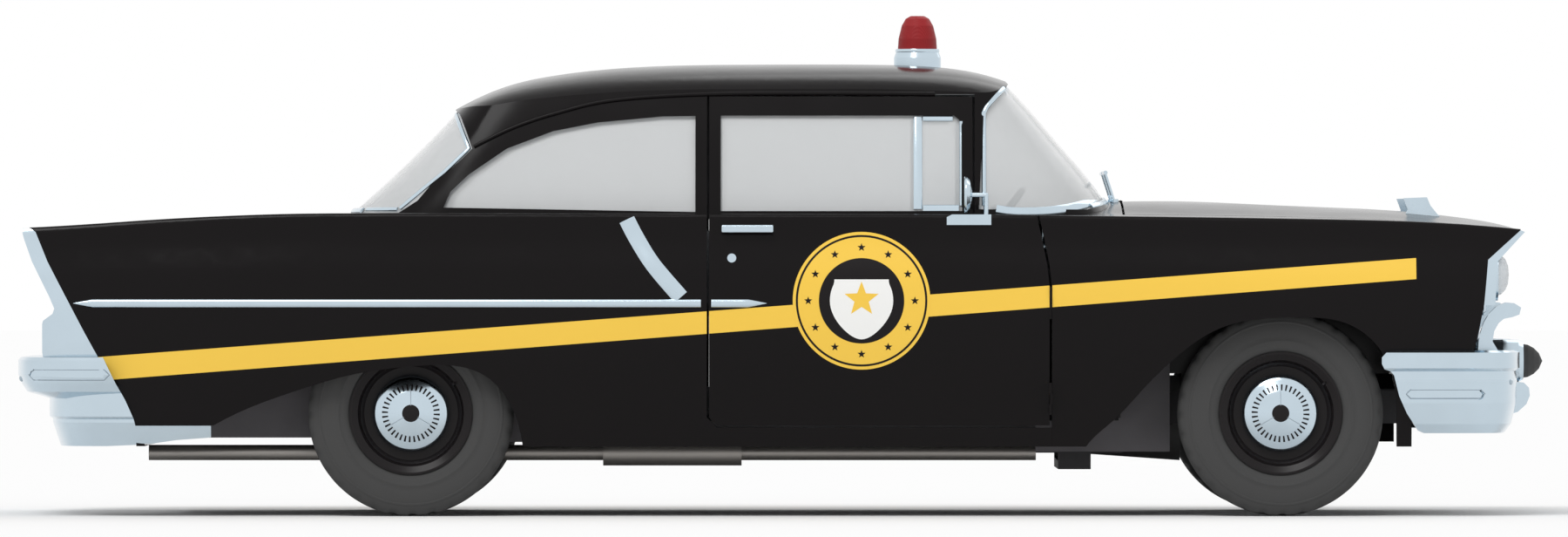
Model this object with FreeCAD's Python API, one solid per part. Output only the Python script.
import FreeCAD, Part
import os

# A two-door police patrol sedan of the late nineteen-fifties.
# Millimetres, nose towards +X, left side +Y, up +Z, standing on z = 0.
# Outline points are shares: x counts wheelbases ahead of the rear axle,
# z counts up from the floor in the same unit, tied to the roof's height.

V = FreeCAD.Vector

# Whole car
WHEELBASE = 2921.0
ROOF_HEIGHT = 1517.5
ROOF_TOP_SHARE = 0.5195
TAIL_TIP_SHARE = -0.457
NOSE_TIP_SHARE = 1.308
BODY_HALF = 925.0
TRACK_FRONT = 1473.0
TRACK_REAR = 1496.0

# Walls, seams and gaps
PANEL_WALL = 28.0
DOOR_WALL = 75.0
POST_WALL = 90.0
FRAME_WALL = 34.0
GLASS_DEPTH = 12.0
GLASS_WALL = 5.5
SEAM = 0.3
DOOR_GAP = 8.0
LID_GAP = 8.0
JAMB_STEP = 20.0
JAMB_DEPTH = 14.0
OVERRUN = 400.0

# Wheels
TYRE_RADIUS = 345.0
TYRE_WIDTH = 195.0
RIM_RADIUS = 206.0
RIM_HALF = 84.0
RIM_WALL = 7.0
CAP_RADIUS = 127.0
SPINDLE_RADIUS = 18.0
HUB_RADIUS = 46.0
RUNNING_FIT = 0.05
KINGPIN_INSET = 64.5
KINGPIN_Y = TRACK_FRONT / 2 - KINGPIN_INSET
KINGPIN_RADIUS = 12.0

# Widths of what lies beside the hood, trunk, cabin and scuttle
FENDER_TOP_REAR = 213.0
FENDER_TOP_NOSE = 285.0
QUARTER_TOP_FRONT = 205.0
QUARTER_TOP_TAIL = 225.0
CABIN_SIDE = 190.0
COWL_SIDE = 121.0
COWL_WING = 114.0
HOOD_REAR_HALF = BODY_HALF - FENDER_TOP_REAR
HOOD_NOSE_HALF = BODY_HALF - FENDER_TOP_NOSE
TRUNK_FRONT_HALF = BODY_HALF - QUARTER_TOP_FRONT
TRUNK_TAIL_HALF = BODY_HALF - QUARTER_TOP_TAIL
CABIN_HALF = BODY_HALF - CABIN_SIDE
COWL_HALF = BODY_HALF - COWL_SIDE
COWL_WING_HALF = COWL_HALF - COWL_WING

# Edge hinges of doors and lids
PIN_RADIUS = 2.0
BARREL_RADIUS = 3.7
BARREL_LENGTH = 36.0
LID_HINGE_Y = 110.0
DOOR_HINGE_SHARES = [0.135, 0.245]

# Section of the lower body: shares of the wheelbase and of the half width
CROWN_HEIGHT_SHARES = [(-0.47, 0.330), (-0.43, 0.332), (-0.356, 0.3365),
                       (-0.281, 0.3415), (-0.221, 0.3445), (-0.161, 0.347),
                       (-0.071, 0.348), (0.229, 0.3475), (0.649, 0.3465),
                       (0.829, 0.3445), (0.979, 0.3425), (1.129, 0.3395),
                       (1.209, 0.3355), (1.279, 0.3295), (1.33, 0.322)]
CENTRE_HEIGHT_SHARES = [(-0.47, 0.288), (-0.411, 0.298), (-0.353, 0.3065),
                        (-0.221, 0.3185), (-0.086, 0.3325), (-0.02, 0.344),
                        (0.30, 0.3465), (0.649, 0.3465), (0.734, 0.3555),
                        (0.819, 0.3625), (0.889, 0.3625), (0.979, 0.3590),
                        (1.129, 0.3525), (1.189, 0.3470), (1.249, 0.3385),
                        (1.279, 0.3300), (1.33, 0.300)]
VALLEY_HEIGHT_SHARES = [(-0.47, 0.283), (-0.353, 0.2985), (-0.221, 0.312),
                        (-0.086, 0.329), (-0.02, 0.342), (0.30, 0.3455),
                        (0.649, 0.3455), (0.734, 0.3465), (0.979, 0.344),
                        (1.129, 0.340), (1.209, 0.3355), (1.279, 0.3275),
                        (1.33, 0.310)]
WAIST_HALF_SHARES = [(-0.47, 0.935), (-0.351, 0.975), (-0.171, 1.0),
                     (0.129, 1.0), (0.429, 0.992), (0.734, 0.992),
                     (0.979, 0.993), (1.129, 0.980), (1.229, 0.955),
                     (1.279, 0.935), (1.33, 0.90)]
CROWN_HALF_SHARES = [(-0.47, 0.905), (-0.351, 0.925), (-0.171, 0.940),
                     (0.029, 0.944), (0.229, 0.940), (0.734, 0.932),
                     (0.979, 0.925), (1.129, 0.910), (1.229, 0.888),
                     (1.279, 0.872), (1.33, 0.84)]
VALLEY_HALF_SHARES = [(-0.47, 0.790), (-0.071, 0.800), (0.10, 0.770),
                      (0.729, 0.770), (0.979, 0.750), (1.229, 0.700),
                      (1.33, 0.66)]
BODY_STATION_SHARES = [-0.47, -0.42, -0.36, -0.29, -0.21, -0.13, -0.05,
                       0.03, 0.13, 0.25, 0.37, 0.49, 0.60, 0.69, 0.76,
                       0.83, 0.91, 1.00, 1.08, 1.15, 1.21, 1.26, 1.30]
ROCKER_SHARE = 0.080
WAIST_SHARE = 0.2475
TUCK = 48.0
FIN_TOP = 16.0

# Greenhouse: height share against x share or against half-width share
WINDSHIELD_SHARES = [(0.320, 0.822), (0.3485, 0.812), (0.3725, 0.797),
                     (0.3925, 0.783), (0.4225, 0.757), (0.4425, 0.740),
                     (0.4625, 0.723), (0.4975, 0.690), (0.5215, 0.664),
                     (0.545, 0.640)]
BACKLIGHT_SHARES = [(0.320, -0.105), (0.3525, -0.071), (0.3795, -0.041),
                    (0.4085, -0.011), (0.4375, 0.019), (0.4705, 0.050),
                    (0.4925, 0.070), (0.5215, 0.096), (0.545, 0.118)]
SIDE_GLASS_SHARES = [(0.320, 0.876), (0.3485, 0.860), (0.3925, 0.823),
                     (0.4375, 0.779), (0.4825, 0.728), (0.545, 0.650)]
GREEN_LEVEL_SHARES = [0.320, 0.352, 0.39, 0.43, 0.47, 0.505, 0.545]
WRAP_FRONT_SHARES = [(0.320, 0.640), (0.44, 0.640), (0.4975, 0.648),
                     (0.545, 0.600)]
WRAP_REAR_SHARES = [(0.320, 0.110), (0.4375, 0.105), (0.4925, 0.125),
                    (0.545, 0.170)]
GREEN_MIDDLE_SHARE = 0.40
ROOF_LINE_SHARES = [(-0.15, 0.38), (0.0, 0.440), (0.049, 0.4705),
                    (0.079, 0.4855), (0.109, 0.4965), (0.139, 0.5045),
                    (0.199, 0.5135), (0.259, 0.5185), (0.349, 0.5215),
                    (0.529, 0.5215), (0.619, 0.5175), (0.679, 0.5045),
                    (0.72, 0.485), (0.85, 0.40)]
ROOF_EDGE_SHARES = [(-0.15, 0.36), (0.0, 0.428), (0.049, 0.4565),
                    (0.109, 0.4725), (0.199, 0.4800), (0.349, 0.4835),
                    (0.529, 0.4835), (0.659, 0.4800), (0.72, 0.470),
                    (0.85, 0.39)]
ROOF_STATION_SHARES = [-0.15, -0.05, 0.03, 0.10, 0.18, 0.28, 0.40, 0.52,
                       0.61, 0.67, 0.74, 0.85]
ROOF_EDGE_INSET = 195.0
ROOF_FOOT_PROUD = 35.0
ROOF_EDGE_HALF = BODY_HALF - ROOF_EDGE_INSET
ROOF_FOOT_HALF = BODY_HALF + ROOF_FOOT_PROUD

# Side outlines, as (x share, z share)
DOOR_SHARES = [(0.343, 0.1135), (0.352, 0.1045), (0.734, 0.1045),
               (0.734, 0.262), (0.731, 0.290), (0.725, 0.320),
               (0.719, 0.3465)]
DOOR_FRAME_SHARES = [(0.343, 0.338), (0.646, 0.338), (0.646, 0.4825),
                     (0.343, 0.4825)]
DOOR_WINDOW_SHARES = [(0.356, 0.3505), (0.634, 0.3505), (0.634, 0.4525),
                      (0.625, 0.4605), (0.356, 0.4605)]
QUARTER_WINDOW_SHARES = [(0.327, 0.3495), (0.037, 0.3545), (0.045, 0.3725),
                         (0.066, 0.3925), (0.110, 0.4225), (0.163, 0.4425),
                         (0.214, 0.4525), (0.289, 0.4595), (0.327, 0.4600)]
WINDSHIELD_OPENING_SHARES = [(0.653, 0.3525), (0.779, 0.3525),
                             (0.795, 0.3565), (0.814, 0.3625),
                             (0.90, 0.37), (0.90, 0.56), (0.722, 0.56),
                             (0.689, 0.4990), (0.659, 0.4620)]
BACKLIGHT_OPENING_SHARES = [(-0.15, 0.3485), (-0.015, 0.3485),
                            (0.007, 0.3625), (0.024, 0.3825),
                            (0.038, 0.3925), (0.060, 0.4125),
                            (0.070, 0.4225), (0.063, 0.4425),
                            (0.055, 0.4625), (0.045, 0.4720),
                            (0.0, 0.52), (-0.15, 0.52)]
REAR_ARCH_SHARES = [(-0.226, 0.1045), (-0.190, 0.1225), (-0.136, 0.1425),
                    (-0.068, 0.1625), (0.004, 0.1725), (0.084, 0.1625),
                    (0.113, 0.1325), (0.127, 0.0925), (0.131, 0.060)]
FRONT_ARCH_SHARES = [(0.766, 0.060), (0.782, 0.0875), (0.810, 0.1125),
                     (0.838, 0.1425), (0.879, 0.1825), (0.922, 0.2125),
                     (0.965, 0.2255), (1.020, 0.2285), (1.072, 0.2225),
                     (1.104, 0.2025), (1.124, 0.1725), (1.132, 0.130),
                     (1.134, 0.060)]
TAIL_LINE_SHARES = [(-0.446, 0.3365), (-0.431, 0.3265), (-0.417, 0.2925),
                    (-0.396, 0.2525), (-0.375, 0.2125), (-0.353, 0.1725),
                    (-0.327, 0.1325), (-0.315, 0.1045), (-0.315, 0.0805)]
NOSE_LINE_SHARES = [(1.276, 0.3285), (1.238, 0.2945), (1.233, 0.2425),
                    (1.225, 0.2025), (1.210, 0.150), (1.150, 0.120)]

# Places worked out from the shares
TALL = ROOF_HEIGHT / ROOF_TOP_SHARE
MIDDLE_SHARE = (TAIL_TIP_SHARE + NOSE_TIP_SHARE) / 2


def along(share):
    return (share - MIDDLE_SHARE) * WHEELBASE


def height(share):
    return share * TALL


REAR_AXLE_X = along(0)
FRONT_AXLE_X = along(1)
AXLE_Z = TYRE_RADIUS
FAR = WHEELBASE


def smooth(table, x):
    """Value of a table at x, by a curve that never overshoots its points."""
    if x <= table[0][0]:
        return table[0][1]
    if x >= table[-1][0]:
        return table[-1][1]
    slopes = []
    for (x0, y0), (x1, y1) in zip(table, table[1:]):
        slopes.append((y1 - y0) / (x1 - x0))
    bends = [slopes[0]]
    for before, after in zip(slopes, slopes[1:]):
        level = before * after <= 0
        bends.append(0 if level else 2 * before * after / (before + after))
    bends.append(slopes[-1])
    for i, ((x0, y0), (x1, y1)) in enumerate(zip(table, table[1:])):
        if x <= x1:
            span = x1 - x0
            t = (x - x0) / span
            rise = t * t * (3 - 2 * t)
            start = t * (1 - t) * (1 - t) * span * bends[i]
            end = t * t * (t - 1) * span * bends[i + 1]
            return y0 + (y1 - y0) * rise + start + end
    return table[-1][1]


def bspline(points):
    """Clamped cubic curve on the given poles, with even knots."""
    inner = len(points) - 3
    knots = [i / inner for i in range(inner + 1)]
    mults = [4] + [1] * (inner - 1) + [4]
    curve = Part.BSplineCurve()
    curve.buildFromPolesMultsKnots(points, mults, knots, False, 3)
    return curve.toShape()


def through(points):
    curve = Part.BSplineCurve()
    curve.interpolate(points)
    return curve.toShape()


def box(x0, x1, y0, y1, z0, z1):
    return Part.makeBox(x1 - x0, y1 - y0, z1 - z0, V(x0, y0, z0))


def tube(radius, start, end):
    axis = end - start
    return Part.makeCylinder(radius, axis.Length, start, axis)


def side_prism(shares, y0, y1, inset=0):
    """Side outline in shares, swept across the car from y0 to y1."""
    points = [V(along(x), y0, height(z)) for x, z in shares]
    wire = Part.makePolygon(points + points[:1])
    if inset:
        wire = wire.makeOffset2D(-inset, 2)
    return Part.Face(wire).extrude(V(0, y1 - y0, 0))


def arch_prism(shares, y0, y1):
    """Wheel opening: a smooth curve closed below."""
    points = [V(along(x), y0, height(z)) for x, z in shares]
    top = through(points)
    low = V(0, 0, -height(ROCKER_SHARE))
    floor = [points[-1], points[-1] + low, points[0] + low, points[0]]
    wire = Part.Wire([top] + Part.makePolygon(floor).Edges)
    return Part.Face(wire).extrude(V(0, y1 - y0, 0))


def plan_prism(points, z0, z1):
    corners = [V(x, y, z0) for x, y in points]
    wire = Part.makePolygon(corners + corners[:1])
    return Part.Face(wire).extrude(V(0, 0, z1 - z0))


def mirrored(shape):
    return shape.mirror(V(0, 0, 0), V(0, 1, 0))


def solids(shape, least=1000.0):
    """The real solids of a boolean's result, without slivers."""
    return [s for s in shape.Solids if s.Volume > least]


def one(shape):
    found = sorted(solids(shape), key=lambda s: -s.Volume)
    return found[0]


def fuse(first, *others):
    return first.multiFuse(list(others)).removeSplitter()


def body_section(share, inset):
    """Closed outline of the lower body across the car at one station."""
    x = along(share)
    crown_z = height(smooth(CROWN_HEIGHT_SHARES, share)) - inset
    centre_z = height(smooth(CENTRE_HEIGHT_SHARES, share)) - inset
    valley_z = height(smooth(VALLEY_HEIGHT_SHARES, share)) - inset
    waist = BODY_HALF * smooth(WAIST_HALF_SHARES, share) - inset
    crown = BODY_HALF * smooth(CROWN_HALF_SHARES, share) - inset
    valley = BODY_HALF * smooth(VALLEY_HALF_SHARES, share) - inset / 2
    low = height(ROCKER_SHARE)
    if inset > 0:
        low = -low
    waist_z = height(WAIST_SHARE)
    side = crown_z - waist_z
    drop = waist_z - height(ROCKER_SHARE)
    half = [
        (waist - TUCK, low),
        (waist - TUCK + FIN_TOP, waist_z - drop * 0.66),
        (waist - FIN_TOP / 4, waist_z - drop * 0.33),
        (waist, waist_z),
        (waist - FIN_TOP / 4, waist_z + side * 0.35),
        (crown + FIN_TOP / 2, crown_z - side * 0.32),
        (crown + FIN_TOP / 8, crown_z - FIN_TOP),
        (crown - FIN_TOP / 2, crown_z + FIN_TOP / 4),
        (crown - FIN_TOP * 2, crown_z - FIN_TOP / 4),
        (valley + (crown - valley) * 0.40, valley_z + (crown_z - valley_z) * 0.30),
        (valley - FIN_TOP, valley_z),
        (valley * 0.70, valley_z + (centre_z - valley_z) * 0.55),
        (valley * 0.35, centre_z),
    ]
    right = [V(x, -y, z) for y, z in half]
    left = [V(x, y, z) for y, z in reversed(half)]
    over = bspline(right + [V(x, 0, centre_z)] + left)
    under = Part.makeLine(left[-1], right[0])
    return Part.Wire([over, under])


def greenhouse_section(share, inset):
    """Closed plan outline of the glass house at one height."""
    z = height(share)
    nose = along(smooth(WINDSHIELD_SHARES, share)) - inset
    tail = along(smooth(BACKLIGHT_SHARES, share)) + inset
    side = BODY_HALF * smooth(SIDE_GLASS_SHARES, share) - inset
    wrap_nose = along(smooth(WRAP_FRONT_SHARES, share))
    wrap_tail = along(smooth(WRAP_REAR_SHARES, share))
    middle = along(GREEN_MIDDLE_SHARE)

    def run(start, tip):
        deep = tip - start
        return [
            (middle, side),
            ((middle + start) / 2, side),
            (start, side),
            (start + deep * 0.50, side * 0.985),
            (start + deep * 0.90, side * 0.84),
            (tip, side * 0.50),
            (tip, side * 0.22),
        ]
    front = run(wrap_nose, nose)
    rear = run(wrap_tail, tail)
    ahead = [V(x, -y, z) for x, y in front] + [V(nose, 0, z)]
    ahead += [V(x, y, z) for x, y in reversed(front)]
    behind = [V(x, y, z) for x, y in rear] + [V(tail, 0, z)]
    behind += [V(x, -y, z) for x, y in reversed(rear)]
    return Part.Wire([bspline(ahead), bspline(behind)])


def roof_section(share, inset):
    x = along(share)
    top = height(smooth(ROOF_LINE_SHARES, share)) - inset
    edge = height(smooth(ROOF_EDGE_SHARES, share)) - inset
    low = height(GREEN_LEVEL_SHARES[0]) - OVERRUN
    half = ROOF_EDGE_HALF
    rise = top - edge
    poles = [
        (half, edge - rise * 0.6),
        (half * 0.93, edge + rise * 0.25),
        (half * 0.80, edge + rise * 0.70),
        (half * 0.52, top - rise * 0.04),
        (half * 0.25, top),
    ]
    right = [V(x, -y, z) for y, z in poles]
    left = [V(x, y, z) for y, z in reversed(poles)]
    over = bspline(right + [V(x, 0, top)] + left)
    out = ROOF_FOOT_HALF
    corners = [left[-1], V(x, out, edge - rise), V(x, out, low),
               V(x, -out, low), V(x, -out, edge - rise), right[0]]
    walls = Part.makePolygon(corners)
    return Part.Wire([over] + walls.Edges)


MADE = {}


def lower_body(inset=0.0):
    """The body below the windows, moved inwards by the inset."""
    key = ("lower", inset)
    if key not in MADE:
        rings = [body_section(s, inset) for s in BODY_STATION_SHARES]
        MADE[key] = Part.makeLoft(rings, True)
    return MADE[key]


def greenhouse(inset=0.0):
    """The glass house and roof, moved inwards by the inset."""
    key = ("green", inset)
    if key not in MADE:
        rings = [greenhouse_section(s, inset) for s in GREEN_LEVEL_SHARES]
        house = Part.makeLoft(rings, True)
        bands = [roof_section(s, inset) for s in ROOF_STATION_SHARES]
        MADE[key] = house.common(Part.makeLoft(bands, True))
    return MADE[key]


# Seams of the body, in the same shares
DOOR_REAR_SHARE = DOOR_SHARES[0][0]
DOOR_FRONT_SHARE = DOOR_SHARES[2][0]
DOOR_FOOT_SHARE = DOOR_SHARES[1][1]
FRAME_FRONT_SHARE = DOOR_FRAME_SHARES[1][0]
FRAME_TOP_SHARE = DOOR_FRAME_SHARES[2][1]
COWL_SHARE = 0.819
CABIN_REAR_SHARE = 0.10
TRUNK_FRONT_SHARE = -0.112
LID_FOOT_SHARE = 0.1925
POST_SHARE = 0.028
SKY_SHARE = 0.45
BELT_SHARE = 0.352
NOSE_TOP_SHARE = NOSE_LINE_SHARES[0][0]
NOSE_END_SHARE = 1.30
TAIL_TOP_SHARE = TAIL_LINE_SHARES[0][0]
TAIL_FOOT_SHARE = TAIL_LINE_SHARES[-1][0]
WIDE = BODY_HALF + OVERRUN

# Head lamps, each behind a bright plate that follows the nose line
LAMP_RADIUS = 74.0
LAMP_RING = 14.0
LAMP_INSET = 160.0
LAMP_Y = BODY_HALF - LAMP_INSET
LAMP_SHARE = 0.2775
LAMP_SEAT_SHARE = 1.2364
LAMP_RING_REACH = 40.0
LAMP_TIP_SHARE = 1.263
LAMP_PLATE_SHARES = [(1.276, 0.3285), (1.281, 0.3265), (1.249, 0.2925),
                     (1.246, 0.2425), (1.233, 0.2425), (1.238, 0.2945)]

# Grille
GRILLE_SIDE = 50.0
GRILLE_HALF = HOOD_NOSE_HALF - GRILLE_SIDE
GRILLE_TOP_SHARE = 0.305
GRILLE_FOOT_SHARE = 0.205
GRILLE_RIM = 14.0
GRILLE_BARS = 8
GRILLE_BAR_TALL = 5.0
GRILLE_BAR_DEEP = 22.0
GRILLE_POSTS = 27
GRILLE_POST_WIDE = 4.0
GRILLE_BEAM_RADIUS = 15.0
GRILLE_BEAM_SHARE = 0.245
PARKING_LAMP_RADIUS = 42.0
PARKING_LAMP_LONG = 46.0

# Bumpers: plan lines, and sections as (share outwards, z share)
BUMPER_PROUD = 12.0
BUMPER_HALF = BODY_HALF + BUMPER_PROUD
APRON_INSET = 32.0
FRONT_BUMPER_FACE_SHARE = 1.281
FRONT_BUMPER_END_SHARE = 1.115
FRONT_BUMPER_SHARES = [(-0.026, 0.1890), (-0.005, 0.1905), (0, 0.1880), (0, 0.1700),
                       (-0.004, 0.1665), (-0.003, 0.1560), (-0.004, 0.1300),
                       (-0.010, 0.1060), (-0.018, 0.0955), (-0.030, 0.0965),
                       (-0.022, 0.1080), (-0.015, 0.1300), (-0.013, 0.1620),
                       (-0.012, 0.1790), (-0.026, 0.1805)]
FRONT_BUMPER_SIDE_SHARES = [(1.115, 0.1825), (1.121, 0.1890), (1.145, 0.1915),
                            (1.32, 0.1935), (1.32, 0.0945), (1.165, 0.0950),
                            (1.157, 0.0985), (1.144, 0.1180), (1.135, 0.1380),
                            (1.129, 0.1620), (1.125, 0.1665), (1.118, 0.1690),
                            (1.115, 0.1750)]
FRONT_SLOT_SHARES = [(1.143, 0.1335), (1.233, 0.1455)]
REAR_BAR_SHARES = [(-0.035, 0.1825), (-0.003, 0.1825), (0, 0.1790), (0, 0.1625),
                   (-0.004, 0.1525), (-0.010, 0.1430), (-0.035, 0.1355),
                   (-0.035, 0.1425), (-0.015, 0.1480), (-0.009, 0.1560),
                   (-0.008, 0.1750), (-0.035, 0.1750)]
REAR_BAR_END_SHARE = -0.330
REAR_APRON_FACE_SHARE = -0.422
REAR_APRON_END_SHARE = -0.229
REAR_APRON_SHARES = [(0, 0.1430), (0, 0.1145), (-0.004, 0.1115), (-0.004, 0.1075),
                     (-0.013, 0.0805), (-0.021, 0.0815), (-0.013, 0.1075),
                     (-0.009, 0.1190), (-0.009, 0.1430)]
REAR_BUMPER_SIDE_SHARES = [(-0.50, 0.1835), (-0.353, 0.1835), (-0.338, 0.1525),
                           (-0.327, 0.1325), (-0.318, 0.1125), (-0.316, 0.1040),
                           (-0.229, 0.1040), (-0.229, 0.0905), (-0.269, 0.0875),
                           (-0.304, 0.0825), (-0.360, 0.0800), (-0.50, 0.0800)]
REAR_SLOT_SHARES = [(-0.438, 0.1555), (-0.351, 0.1685)]
SLOT_DEPTH = 4.0
BRACKET_DEEP = 120.0
GUARD_Y = 330.0
GUARD_SHARE = 0.1775
GUARD_BODY_SHARES = [(1.219, 0), (1.219, 0.020), (1.236, 0.0245), (1.262, 0.025),
                     (1.280, 0.0245), (1.2855, 0.0215), (1.2855, 0)]
GUARD_TIP_SHARES = [(1.2857, 0), (1.2857, 0.0195), (1.291, 0.0187),
                    (1.298, 0.0150), (1.304, 0.0090), (NOSE_TIP_SHARE, 0)]
GUARD_FOOT_SHARES = [(1.251, 0.156), (1.286, 0.1525), (1.292, 0.1465),
                     (1.293, 0.1375), (1.289, 0.1275), (1.279, 0.1185),
                     (1.269, 0.1155), (1.257, 0.1185)]
GUARD_FOOT_HALF = 38.0
HOOK_Y = 612.0
HOOK_HALF = 30.0
HOOK_SHARES = [(1.229, 0.186), (1.230, 0.2005), (1.232, 0.2105), (1.236, 0.2225),
               (1.242, 0.2325), (1.250, 0.2405), (1.261, 0.2455), (1.271, 0.2445),
               (1.279, 0.2395), (1.277, 0.2315), (1.269, 0.2285), (1.259, 0.2265),
               (1.253, 0.2215), (1.248, 0.2125), (1.246, 0.2005), (1.252, 0.1905),
               (1.272, 0.1875), (1.272, 0.1815), (1.240, 0.1815)]

# Fin ends with the tail lamps, and the cap along each fin
TAIL_LAMP_INSET = 148.0
TAIL_LAMP_Y = BODY_HALF - TAIL_LAMP_INSET
TAIL_LAMP_RADIUS = 48.0
TAIL_LAMP_RIM = 3.0
TAIL_LAMP_SHARE = 0.2045
TAIL_LAMP_DEPTH = 30.0
FIN_END_FOOT_SHARE = 0.1828
FIN_END_TOP_SHARE = 0.3305
FIN_END_SHARES = [(-0.446, 0.3400), (-0.446, 0.3245), (-0.444, 0.3175),
                  (-0.435, 0.2925), (-0.425, 0.2725), (-0.415, 0.2525),
                  (-0.409, 0.2385), (-0.411, 0.2325), (-0.422, 0.2245),
                  (-0.423, 0.2205), (-0.423, 0.1885), (-0.421, 0.1728)]
FIN_CAP_SHARES = [(-0.446, 0.3270), (-0.446, 0.3325), (-0.442, 0.3380),
                  (-0.436, 0.3405), (-0.359, 0.3405), (-0.354, 0.3380),
                  (-0.354, 0.3310), (-0.361, 0.3300), (-0.431, 0.3300),
                  (-0.433, 0.3270)]
FIN_CAP_WIDE = 58.0
FIN_CAP_PROUD = 4.0

# Door handle, key lock, mirror, wipers and hood ornaments
HANDLE_SHARES = [(0.357, 0.3255), (0.417, 0.3345)]
HANDLE_POST_SHARES = [0.3665, 0.4095]
HANDLE_REACH = 30.0
HANDLE_WALL = 12.0
HANDLE_POST_RADIUS = 9.0
LOCK_SHARES = (0.369, 0.2965)
LOCK_RADIUS = 15.0
LOCK_REACH = 5.0
MIRROR_FOOT_SHARES = [(0.616, 0.3345), (0.616, 0.3435), (0.622, 0.3465),
                      (0.667, 0.3465), (0.667, 0.3345)]
MIRROR_FOOT_REACH = 12.0
MIRROR_POST_SHARE = 0.661
MIRROR_ARM_SHARE = 0.3690
MIRROR_HEAD_SHARE = 0.6405
MIRROR_RADIUS = 61.0
MIRROR_DEEP = 26.0
MIRROR_ARM_RADIUS = 8.0
WIPER_Y = 215.0
WIPER_FOOT_SHARES = (0.8125, 0.3610)
WIPER_TIP_SHARES = (0.7990, 0.3930)
WIPER_ARM_RADIUS = 6.0
WIPER_BLADE_HALF = 170.0
WIPER_BLADE_RADIUS = 7.0
ORNAMENT_Y = 345.0
ORNAMENT_HALF = 9.0
ORNAMENT_SHARES = [(1.142, 0.338), (1.152, 0.3525), (1.147, 0.3660),
                   (1.174, 0.3670), (1.178, 0.3575), (1.186, 0.3475),
                   (1.196, 0.338)]

# Beacon
BEACON_SHARE = 0.5845
BEACON_BASE_RADIUS = 80.0
BEACON_BASE_TOP_SHARE = 0.5375
BEACON_DOME_RADIUS = 67.0
BEACON_TOP_SHARE = 0.5785

# Frame, floor and running gear
RAIL_INNER = 390.0
RAIL_OUTER = 450.0
RAIL_TALL_SHARE = 0.0275
TAIL_RAIL_TALL_SHARE = 0.03
REAR_RAIL_SHARE = -0.02
FLOOR_TAIL_SHARE = -0.012
FLOOR_KICK_SHARES = [-0.14, -0.06, 0.075, 0.15]
FLOOR_SPLIT_SHARE = 0.14
RAIL_KICK_SHARES = [-0.14, -0.06, 0.07, 0.15, 0.82, 0.88]
FRONT_RAIL_SHARES = (0.1055, 0.1435)
RAIL_END_SHARE = 1.20
SPRING_HANGER_SHARES = [(0.098, 0.116), (0.125, 0.165)]
RAIL_FOOT_SHARE = 0.0715
RAIL_TOP_SHARE = 0.1095
KICK_TOP_SHARE = 0.1925
TAIL_RAIL_TOP_SHARE = 0.175
CROSSMEMBER_SHARES = [(-0.27, 0.148), (0.17, 0.08), (0.48, RAIL_FOOT_SHARE),
                      (1.18, 0.108)]
GEARBOX_MOUNT_SHARE = 0.765
TUNNEL_REAR_SHARE = 0.10
FLOOR_WALL = 16.0
FLOOR_INSET = 125.0
FLOOR_HALF = BODY_HALF - FLOOR_INSET
TUB_RADIUS = 398.0
TUB_WALL = 10.0
TUB_FRONT_INSET = 284.5
TUB_REAR_INSET = 136.0
TUB_FRONT_Y = TRACK_FRONT / 2 - TUB_FRONT_INSET
TUB_REAR_Y = TRACK_REAR / 2 - TUB_REAR_INSET
ARM_TALL = 16.0
ARM_DROP = 84.0
ARM_HALF = 32.0
ARM_INNER_Y = 425.0
KNUCKLE_RADIUS = 30.0
AXLE_TUBE_RADIUS = 42.0
SPRING_Y = 545.0
SPRING_WIDE = 60.0
SPRING_TALL = 26.0
SPRING_END_SHARES = [-0.19, 0.135]
LEAF_SHARES = [(-0.19, 0.128), (-0.10, 0.108), (0.0, 0.0985), (0.07, 0.100),
               (0.135, 0.105)]
SPRING_PAD_SHARE = 0.10
SHAFT_END_SHARES = (0.66, 0.092)
ENGINE_HALF = 240.0
ENGINE_BLOCK_SHARES = [(0.89, 0.15), (1.10, 0.285)]
GEARBOX_END_SHARE = 0.68
GEARBOX_SHARE = 0.0975
BELL_SHARES = [(0.85, 0.93), 0.16]
TANK_HALF = 300.0
TANK_SHARES = [(-0.245, -0.12), 0.10]
EXHAUST_Y = 498.0
EXHAUST_SHARE = 0.072
EXHAUST_RADIUS = 26.0
EXHAUST_END_SHARES = [-0.305, 0.72]
MUFFLER_SHARES = [0.22, 0.38]
EXHAUST_STRAP_SHARE = 0.45
MUFFLER_RADIUS = 44.0
TUNNEL_RADIUS = 130.0
TUNNEL_WALL = 12.0
TUNNEL_SHARE = 0.102
CROSS_TALL = 30.0
CROSS_LONG = 110.0
GEARBOX_FOOT_SHARE = 0.0525

# Cabin
SEAT_INSET = 285.0
SEAT_GAP = 14.0
SEAT_HALF = BODY_HALF - SEAT_INSET
REAR_SEAT_HALF = TUB_REAR_Y - SEAT_GAP
FRONT_CUSHION_SHARES = [(0.40, 0.205), (0.60, 0.222), (0.60, 0.165), (0.40, 0.155)]
FRONT_BACK_SHARES = [(0.40, 0.158), (0.40, 0.206), (0.355, 0.335), (0.325, 0.335),
                     (0.35, 0.158)]
FRONT_BASE_SHARES = [(0.42, 0.58), 0.165]
REAR_CUSHION_SHARES = [(0.13, 0.205), (0.29, 0.218), (0.29, 0.168), (0.13, 0.162)]
REAR_BACK_SHARES = [(0.13, 0.202), (0.085, 0.322), (0.055, 0.322), (0.08, 0.202)]
REAR_BASE_SHARES = [(0.17, 0.27), 0.168]
WHEEL_Y = 360.0
STEERING_RADIUS = 210.0
STEERING_RIM = 12.0
STEERING_SHARES = [0.665, 0.318]
COLUMN_AXIS = [0.80, 0.0, -0.60]
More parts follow.
